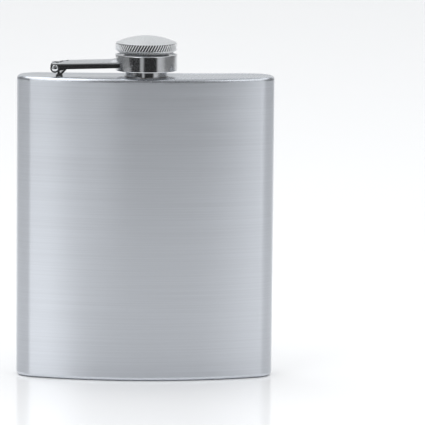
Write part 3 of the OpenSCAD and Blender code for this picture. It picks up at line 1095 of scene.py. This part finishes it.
class FLASK_OT_cap(bpy.types.Operator):
    """Turn the cap's head, threaded skirt, gasket and slip ring"""

    bl_idname = "flask.cap"
    bl_label = "Cap"

    def execute(self, context):
        self.head(context)
        self.skirt(context)
        gasket_r = (GASKET_HIGH.x - GASKET_LOW.x) / 2
        low, high = GASKET_LOW.z - PLATE_Z, GASKET_HIGH.z - PLATE_Z
        gasket = turned("seal_disc", rounded([(0, low, 0), (gasket_r, low, 0.2 * MM),
                                              (gasket_r, high, 0.2 * MM), (0, high, 0)]),
                        [silicone()])
        hand_over(keep_flats_flat(gasket), "cap", "seal", "cap_gasket")
        ring_r = (KEEPER_HIGH.x - KEEPER_LOW.x) / 2
        low, high = KEEPER_LOW.z - PLATE_Z, KEEPER_HIGH.z - PLATE_Z
        hole, edge = 8.1 * MM, 0.12 * MM
        steel = polished_steel(KEEPER_LOW.z, KEEPER_HIGH.z, "Polished ring steel")
        keeper = turned("slip_ring", rounded([(hole, low, edge), (ring_r, low, edge),
                                              (ring_r, high, edge), (hole, high, edge)]), [steel])
        hand_over(keep_flats_flat(keeper), "keeper", "polished_steel", "keeper_ring")
        return {"FINISHED"}

    def head(self, context):
        """Domed head: bevel below, a band painted dark as the shade between the knurl's teeth, dome above.
        """
        knurl = context.scene.flask_knurl
        head_r = (HEAD_HIGH.x - HEAD_LOW.x) / 2
        root_r = head_r - knurl.depth
        low, high = HEAD_LOW.z - PLATE_Z, HEAD_HIGH.z - PLATE_Z
        rim_low = low + knurl.bevel
        rim_high = rim_low + knurl.rim
        bevel_r, shell = head_r - 2.5 * MM, 0.7 * MM
        dome_edge = head_r - 0.2 * MM
        rise = high - rim_high
        dome_r = (dome_edge ** 2 + rise ** 2) / (2 * rise)

        def dome(radius, steps, from_r):
            top = high - dome_r
            return [(r, top + math.sqrt(radius ** 2 - r ** 2), 0)
                    for r in (from_r * (1 - k / steps) for k in range(1, steps + 1))]

        outer = [(bevel_r, low, 0.2 * MM), (root_r - 0.1 * MM, rim_low - 0.08 * MM, 0.05 * MM),
                 (root_r, rim_low, 0), (root_r, rim_high, 0), (dome_edge, rim_high + 0.02 * MM, 0.1 * MM),
                 (dome_edge, rim_high + 0.16 * MM, 0.1 * MM)]
        inner_r = root_r - shell
        inside = [(inner_r, rim_high - 0.5 * MM, 0), (inner_r, rim_low + 0.3 * MM, 0.2 * MM),
                  (bevel_r - 0.3 * MM, low + shell, 0.2 * MM), (SKIRT_RADIUS, low + shell, 0),
                  (SKIRT_RADIUS, low, 0)]
        cove = [(r, z, 0) for r, z, _ in dome(dome_r - shell, 16, inner_r)]
        corners = outer + dome(dome_r, 36, dome_edge - 0.25 * MM) + cove[::-1] + inside
        outline = rounded(corners)
        zones = [1 if abs(a[0] - root_r) < NEAR and abs(b[0] - root_r) < NEAR else 0
                 for a, b in zip(outline, outline[1:] + outline[:1])]
        piece = turned("domed_head", outline, [satin_head_steel(), groove_shade_steel()], steps=160, zones=zones)
        hand_over(keep_flats_flat(piece), "cap", "satin_steel", "cap_head")

    def skirt(self, context):
        """Skirt with an inner thread, a lip at its foot, a disc over the gasket and a flange."""
        inner, lip = context.scene.flask_thread.skirt_radius, (SKIRT_HIGH.x - SKIRT_LOW.x) / 2
        low, high = SKIRT_LOW.z - PLATE_Z, SKIRT_HIGH.z - PLATE_Z
        lip_top, disc_low = low + 0.4 * MM, GASKET_HIGH.z - PLATE_Z
        disc_high = disc_low + 0.7 * MM
        flange_low, flange_r = high - 0.7 * MM, 8.4 * MM
        thread_low, thread_high = low + 0.3 * MM, GASKET_LOW.z - PLATE_Z - 0.2 * MM
        climb = [(inner, thread_high - (thread_high - thread_low) * i / 40, 0) for i in range(41)]
        outline = rounded(
            [(lip, low, 0.1 * MM), (lip, lip_top, 0.1 * MM), (SKIRT_RADIUS, lip_top, 0.08 * MM),
             (SKIRT_RADIUS, flange_low, 0), (flange_r, flange_low, 0), (flange_r, high, 0.1 * MM),
             (inner, high, 0.1 * MM), (inner, disc_high, 0), (0, disc_high, 0), (0, disc_low, 0),
             (inner, disc_low, 0)] + climb + [(inner, low, 0.1 * MM)])

        def ridge(angle, height, index):
            """The thread, which stands into the skirt below the gasket."""
            on_bore = height < thread_high and abs(outline[index][0] - inner) < NEAR
            return -thread_ridge(angle, height, thread_low, thread_high, 0.5) if on_bore else 0

        steel = polished_steel(SKIRT_LOW.z, SKIRT_HIGH.z, "Polished skirt steel")
        piece = turned("threaded_skirt", outline, [steel], shift=ridge)
        hand_over(keep_flats_flat(piece), "cap", "polished_steel", "cap_skirt")


def knurl_tree():
    """Geometry Nodes that set one tooth round a circle, as often as asked, and move the ring in place."""
    tree = bpy.data.node_groups.new("Knurl ring", "GeometryNodeTree")
    face = tree.interface
    face.new_socket(name="Tooth", in_out="INPUT", socket_type="NodeSocketGeometry")
    count = face.new_socket(name="Count", in_out="INPUT", socket_type="NodeSocketInt")
    centre = face.new_socket(name="Centre", in_out="INPUT", socket_type="NodeSocketVector")
    finish = face.new_socket(name="Finish", in_out="INPUT", socket_type="NodeSocketMaterial")
    face.new_socket(name="Ring", in_out="OUTPUT", socket_type="NodeSocketGeometry")
    inputs, outputs = tree.nodes.new("NodeGroupInput"), tree.nodes.new("NodeGroupOutput")
    points = tree.nodes.new("GeometryNodePoints")
    place = tree.nodes.new("GeometryNodeInstanceOnPoints")
    index = tree.nodes.new("GeometryNodeInputIndex")
    share = tree.nodes.new("ShaderNodeMath")
    share.operation = "DIVIDE"
    turn = tree.nodes.new("ShaderNodeMath")
    turn.operation = "MULTIPLY"
    turn.inputs[1].default_value = 2 * math.pi
    angles = tree.nodes.new("ShaderNodeCombineXYZ")
    move = tree.nodes.new("GeometryNodeTransform")
    realize = tree.nodes.new("GeometryNodeRealizeInstances")
    paint = tree.nodes.new("GeometryNodeSetMaterial")
    link = tree.links.new
    link(inputs.outputs["Count"], points.inputs["Count"])
    link(points.outputs[0], place.inputs["Points"])
    link(inputs.outputs["Tooth"], place.inputs["Instance"])
    link(index.outputs[0], share.inputs[0])
    link(inputs.outputs["Count"], share.inputs[1])
    link(share.outputs[0], turn.inputs[0])
    link(turn.outputs[0], angles.inputs["Z"])
    link(angles.outputs[0], place.inputs["Rotation"])
    link(place.outputs[0], move.inputs["Geometry"])
    link(inputs.outputs["Centre"], move.inputs["Translation"])
    link(move.outputs[0], realize.inputs[0])
    link(realize.outputs[0], paint.inputs["Geometry"])
    link(inputs.outputs["Finish"], paint.inputs["Material"])
    link(paint.outputs[0], outputs.inputs["Ring"])
    return tree, count.identifier, centre.identifier, finish.identifier


class FLASK_OT_knurl(bpy.types.Operator):
    """Set the slanting teeth round the cap's head"""

    bl_idname = "flask.knurl"
    bl_label = "Knurl"

    def execute(self, context):
        knurl = context.scene.flask_knurl
        head_r = (HEAD_HIGH.x - HEAD_LOW.x) / 2 - 0.02 * MM
        root_r = head_r - knurl.depth - 0.05 * MM
        rim_low = HEAD_LOW.z - PLATE_Z + knurl.bevel
        down_bevel, past_rim = 1.25 * MM, 0.03 * MM
        low = rim_low - down_bevel
        height = down_bevel + knurl.rim + past_rim
        pitch = 2 * math.pi / knurl.teeth
        levels = 12
        # Section of a tooth: share of the pitch to each side of its middle, and share of its height
        tooth = ((-0.22, 0), (-0.17, 0.75), (-0.08, 1), (0.08, 1), (0.17, 0.75), (0.22, 0))
        bm = bmesh.new()
        rows = []
        for i in range(levels + 1):
            up = i / levels
            lean = math.tan(knurl.lean) * height * up / head_r
            end = min(1.0, 0.25 + 4.5 * min(up, 1 - up))
            under = 1.3 * max(0.0, down_bevel - height * up)
            row = []
            for share, rise in tooth:
                angle = share * pitch + lean
                radius = root_r + (head_r - root_r) * rise * end - under
                row.append(bm.verts.new((radius * math.cos(angle), radius * math.sin(angle),
                                         low + height * up)))
            rows.append(row)
        skin(bm, rows)
        piece = piece_from("knurl_teeth", mesh_of("knurl_teeth", bm), [])
        tree, count, centre, finish = knurl_tree()
        ring = piece.modifiers.new("Knurl ring", "NODES")
        ring.node_group = tree
        ring[count] = knurl.teeth
        ring[centre] = tuple(NECK_AXIS)
        ring[finish] = knurl_highlight_steel()
        settle(piece)
        hand_over(piece, "cap", "satin_steel")
        return {"FINISHED"}


# ---- Floor, light and camera ----

# Soft panels of the studio: azimuth of the middle and half width, elevation of the middle and half
# height, softness of the edges, all in degrees, and the light that each adds to the base. Azimuth 0 is in
# front of the flask, and 90 is to its right. Panels with a negative light are dark cards.
STUDIO_BASE = 0.225
STUDIO_DARKEST = 0.03
STUDIO_PANELS = [
    (-39, 11, 12, 50, 9, 0.95),
    (50, 16, 12, 50, 14, 0.42),
    (180, 38, 33, 31, 8, 0.5),
    (-90, 60, 62, 14, 12, 2.0),
    (88, 50, 50, 12, 10, 1.2),
    (0, 180, 90, 16, 10, 0.5),
    (-46, 20, -9, 8, 4, -1.2),
    (-17, 5, -9, 8, 3, 0.3),
    (17, 24, -9, 8, 4, -0.42),
]


def studio_light(world):
    """Lights the scene by soft panels all round, and shows plain white behind the object."""
    world.use_nodes = True
    tree = world.node_tree
    tree.nodes.clear()
    split = tree.nodes.new("ShaderNodeSeparateXYZ")
    tree.links.new(tree.nodes.new("ShaderNodeTexCoord").outputs["Generated"], split.inputs[0])
    forward = math_node(tree, "MULTIPLY", split.outputs["Y"], -1.0)
    azimuth = math_node(tree, "ARCTAN2", split.outputs["X"], forward)
    elevation = math_node(tree, "ARCSINE", split.outputs["Z"])
    light = None
    for side, wide, up, tall, soft, level in STUDIO_PANELS:
        off = math_node(tree, "SUBTRACT", azimuth, math.radians(side))
        off = math_node(tree, "ABSOLUTE", math_node(tree, "WRAP", off, math.pi, -math.pi))
        rise = math_node(tree, "ABSOLUTE", math_node(tree, "SUBTRACT", elevation, math.radians(up)))
        across = map_range(tree, off, math.radians(wide - soft), math.radians(wide + soft), 1.0, 0.0)
        upward = map_range(tree, rise, math.radians(tall - soft), math.radians(tall + soft), 1.0, 0.0)
        share = upward if wide >= 180 else math_node(tree, "MULTIPLY", across, upward)
        panel = math_node(tree, "MULTIPLY", share, level)
        light = panel if light is None else math_node(tree, "ADD", light, panel)
    light = math_node(tree, "MAXIMUM", math_node(tree, "ADD", light, STUDIO_BASE), STUDIO_DARKEST)
    studio = tree.nodes.new("ShaderNodeBackground")
    tree.links.new(light, studio.inputs["Strength"])
    studio.inputs["Color"].default_value = (0.97, 0.985, 1.0, 1)
    backdrop = tree.nodes.new("ShaderNodeBackground")
    backdrop.inputs["Color"].default_value = (1, 1, 1, 1)
    choose = tree.nodes.new("ShaderNodeMixShader")
    output = tree.nodes.new("ShaderNodeOutputWorld")
    tree.links.new(tree.nodes.new("ShaderNodeLightPath").outputs["Is Camera Ray"], choose.inputs[0])
    tree.links.new(studio.outputs[0], choose.inputs[1])
    tree.links.new(backdrop.outputs[0], choose.inputs[2])
    tree.links.new(choose.outputs[0], output.inputs["Surface"])


class FLASK_OT_stage(bpy.types.Operator):
    """Lay the pale floor, light it softly and place the camera"""

    bl_idname = "flask.stage"
    bl_label = "Stage"

    def execute(self, context):
        scene = context.scene
        self.floor()
        world = bpy.data.worlds.new("Soft studio")
        scene.world = world
        studio_light(world)
        self.overhead(scene)
        self.camera(scene)
        scene.view_settings.view_transform = "Standard"
        return {"FINISHED"}

    def overhead(self, scene):
        """A broad lamp straight above, for the floor alone: polished metal doesn't mirror it."""
        data = bpy.data.lights.new("Overhead lamp", "SUN")
        data.energy = 1.7
        data.angle = math.radians(100)
        lamp = bpy.data.objects.new("Overhead lamp", data)
        lamp.visible_glossy = False
        scene.collection.objects.link(lamp)

    def floor(self):
        """A pale glossy table top."""
        bm = bmesh.new()
        wide, front, back = 0.9, -0.42, 2.6
        bm.faces.new([bm.verts.new(p) for p in
                      ((-wide, front, 0), (wide, front, 0), (wide, back, 0), (-wide, back, 0))])
        material, tree, shader = new_material("Pale gloss floor", metallic=0.0)
        smudges = effect(tree, "Smudges", scale=6.0, cover=0.4)
        tree.links.new(mix_colours(tree, smudges["Mask"], (0.93, 0.93, 0.935), (0.92, 0.92, 0.925)),
                       shader.inputs["Base Color"])
        shader.inputs["Roughness"].default_value = 0.12
        shader.inputs["IOR"].default_value = 1.33
        floor = piece_from("studio_floor", mesh_of("studio_floor", bm), [material])

    def camera(self, scene):
        """A long lens that looks a little down at the flask's front."""
        studio = scene.flask_studio
        data = bpy.data.cameras.new("Studio camera")
        camera = bpy.data.objects.new("Studio camera", data)
        scene.collection.objects.link(camera)
        aim = Vector((studio.aim_side, 0, studio.aim_height))
        back = Vector((0, -math.cos(studio.pitch), math.sin(studio.pitch)))
        round_flask = Matrix.Rotation(-studio.turn, 3, "Z")
        camera.location = round_flask @ (aim + back * studio.distance)
        tip = Euler((math.pi / 2 - studio.pitch, 0, 0)).to_matrix()
        camera.rotation_euler = (round_flask @ tip @ Matrix.Rotation(studio.roll, 3, "Z")).to_euler()
        data.angle = 2 * math.atan(studio.view_width / 2 / studio.distance)
        data.clip_end = 20
        scene.camera = camera


class FLASK_PT_panel(bpy.types.Panel):
    """Sidebar panel that lists the flask's pieces"""

    bl_idname = "FLASK_PT_panel"
    bl_label = "Hip Flask"
    bl_space_type = "VIEW_3D"
    bl_region_type = "UI"
    bl_category = "Flask"

    def draw(self, context):
        for name, _ in SETTINGS:
            group = getattr(context.scene, name)
            box = self.layout.box()
            for key in group.bl_rna.properties.keys():
                if key not in ("rna_type", "name"):
                    box.prop(group, key)
        for operator in OPERATORS:
            self.layout.operator(operator.bl_idname)


SETTINGS = [
    ("flask_body", FlaskBodySizes), ("flask_thread", FlaskThreadSizes), ("flask_arm", FlaskArmSizes),
    ("flask_knurl", FlaskKnurlSizes), ("flask_colours", FlaskColours), ("flask_studio", FlaskStudio),
]
OPERATORS = [
    FLASK_OT_body, FLASK_OT_neck, FLASK_OT_hinge, FLASK_OT_arm, FLASK_OT_collar, FLASK_OT_cap,
    FLASK_OT_knurl, FLASK_OT_stage,
]


def register():
    for name, group in SETTINGS:
        bpy.utils.register_class(group)
        setattr(bpy.types.Scene, name, PointerProperty(type=group))
    for operator in OPERATORS:
        bpy.utils.register_class(operator)
    bpy.utils.register_class(FLASK_PT_panel)


def unregister():
    bpy.utils.unregister_class(FLASK_PT_panel)
    for operator in reversed(OPERATORS):
        bpy.utils.unregister_class(operator)
    for name, group in reversed(SETTINGS):
        delattr(bpy.types.Scene, name)
        bpy.utils.unregister_class(group)


def main():
    register()
    for build in (bpy.ops.flask.body, bpy.ops.flask.neck, bpy.ops.flask.hinge, bpy.ops.flask.arm,
                  bpy.ops.flask.collar, bpy.ops.flask.cap, bpy.ops.flask.knurl, bpy.ops.flask.stage):
        build()


if __name__ == "__main__":
    main()
